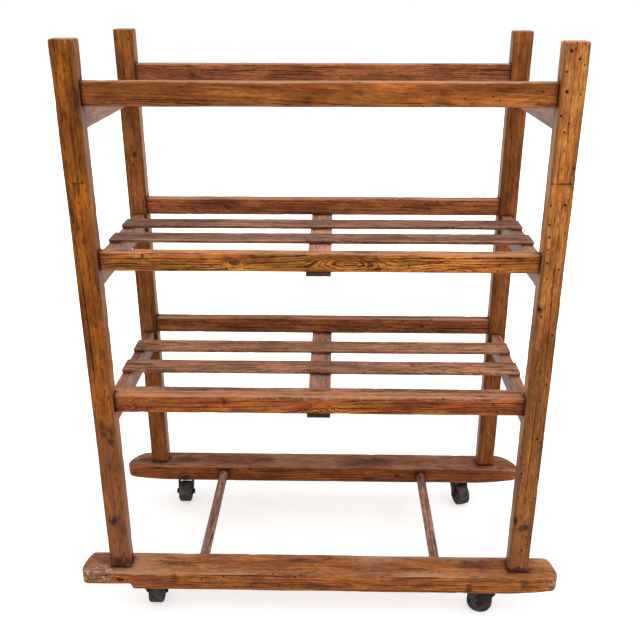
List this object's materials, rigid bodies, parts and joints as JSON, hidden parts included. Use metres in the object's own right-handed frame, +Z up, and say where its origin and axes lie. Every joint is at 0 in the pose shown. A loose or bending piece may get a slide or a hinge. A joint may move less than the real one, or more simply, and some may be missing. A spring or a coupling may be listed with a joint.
{
  "type": "bakery bread rack",
  "caption": "Open pine bread rack: four posts joined by mortised rails carry slatted decks with raised lips, on runners with swivel casters, for wheeling and showing bread.",
  "frame": {"origin": "on the floor under the middle of the rack", "axes": "+Z up, +X towards the right-hand end, the front faces -Y"},
  "size_m": [1.299, 0.621, 1.5237],
  "materials": {
    "post_pine": "old oiled pine, streaked, worn pale at the edges",
    "rail_pine": "old oiled pine, orange-brown with darker grain",
    "slat_pine": "worn pine, paler and drier on top",
    "runner_pine": "old pine, cracked and stained",
    "dowel_wood": "hand-whittled, darkened",
    "caster_steel": "worn black paint",
    "caster_hub": "dull grey casting",
    "caster_tyre": "dusty hard rubber"
  },
  "bodies": {
    "frame": {"runner_front": "runner_pine", "post_front_left": "post_pine", "post_front_right": "post_pine", "runner_rear": "runner_pine", "post_rear_left": "post_pine", "post_rear_right": "post_pine", "stretcher_dowel_left": "dowel_wood", "stretcher_dowel_right": "dowel_wood", "lower_rail_front": "rail_pine", "lower_rail_rear": "rail_pine", "lower_end_rail_left": "rail_pine", "lower_end_rail_right": "rail_pine", "upper_rail_front": "rail_pine", "upper_rail_rear": "rail_pine", "upper_end_rail_left": "rail_pine", "upper_end_rail_right": "rail_pine", "top_rail_front": "rail_pine", "top_rail_rear": "rail_pine", "top_end_rail_left": "rail_pine", "top_end_rail_right": "rail_pine", "lower_bearer": "slat_pine", "lower_slat_front": "slat_pine", "lower_slat_middle": "slat_pine", "lower_slat_rear": "slat_pine", "upper_bearer": "slat_pine", "upper_slat_front": "slat_pine", "upper_slat_middle": "slat_pine", "upper_slat_rear": "slat_pine", "caster_front_left_plate": "caster_steel", "caster_front_left_race": "caster_steel", "caster_front_left_kingpin": "caster_steel", "caster_front_right_plate": "caster_steel", "caster_front_right_race": "caster_steel", "caster_front_right_kingpin": "caster_steel", "caster_rear_left_plate": "caster_steel", "caster_rear_left_race": "caster_steel", "caster_rear_left_kingpin": "caster_steel", "caster_rear_right_plate": "caster_steel", "caster_rear_right_race": "caster_steel", "caster_rear_right_kingpin": "caster_steel"},
    "front_left_swivel": {"caster_front_left_fork": "caster_steel", "caster_front_left_axle": "caster_steel"},
    "front_left_wheel": {"caster_front_left_hub": "caster_hub", "caster_front_left_tyre": "caster_tyre"},
    "front_right_swivel": {"caster_front_right_fork": "caster_steel", "caster_front_right_axle": "caster_steel"},
    "front_right_wheel": {"caster_front_right_hub": "caster_hub", "caster_front_right_tyre": "caster_tyre"},
    "rear_left_swivel": {"caster_rear_left_fork": "caster_steel", "caster_rear_left_axle": "caster_steel"},
    "rear_left_wheel": {"caster_rear_left_hub": "caster_hub", "caster_rear_left_tyre": "caster_tyre"},
    "rear_right_swivel": {"caster_rear_right_fork": "caster_steel", "caster_rear_right_axle": "caster_steel"},
    "rear_right_wheel": {"caster_rear_right_hub": "caster_hub", "caster_rear_right_tyre": "caster_tyre"}
  },
  "joints": [
    {"name": "front_left_swivel_turn", "type": "hinge", "parent": "frame", "child": "front_left_swivel", "pos_m": [-0.4605, -0.267, 0.077], "axis": [0, 0, 1], "continuous": true},
    {"name": "front_left_wheel_spin", "type": "hinge", "parent": "front_left_swivel", "child": "front_left_wheel", "pos_m": [-0.4605, -0.245, 0.0347], "axis": [-1, 0, 0], "continuous": true},
    {"name": "front_right_swivel_turn", "type": "hinge", "parent": "frame", "child": "front_right_swivel", "pos_m": [0.4735, -0.267, 0.077], "axis": [0, 0, 1], "continuous": true},
    {"name": "front_right_wheel_spin", "type": "hinge", "parent": "front_right_swivel", "child": "front_right_wheel", "pos_m": [0.45206, -0.26205, 0.0347], "axis": [-0.225, -0.9744, 0], "continuous": true},
    {"name": "rear_left_swivel_turn", "type": "hinge", "parent": "frame", "child": "rear_left_swivel", "pos_m": [-0.4635, 0.267, 0.077], "axis": [0, 0, 1], "continuous": true},
    {"name": "rear_left_wheel_spin", "type": "hinge", "parent": "rear_left_swivel", "child": "rear_left_wheel", "pos_m": [-0.4635, 0.245, 0.0347], "axis": [1, 0, 0], "continuous": true},
    {"name": "rear_right_swivel_turn", "type": "hinge", "parent": "frame", "child": "rear_right_swivel", "pos_m": [0.4625, 0.267, 0.077], "axis": [0, 0, 1], "continuous": true},
    {"name": "rear_right_wheel_spin", "type": "hinge", "parent": "rear_right_swivel", "child": "rear_right_wheel", "pos_m": [0.4693, 0.24608, 0.0347], "axis": [0.9511, 0.309, 0], "continuous": true}
  ]
}
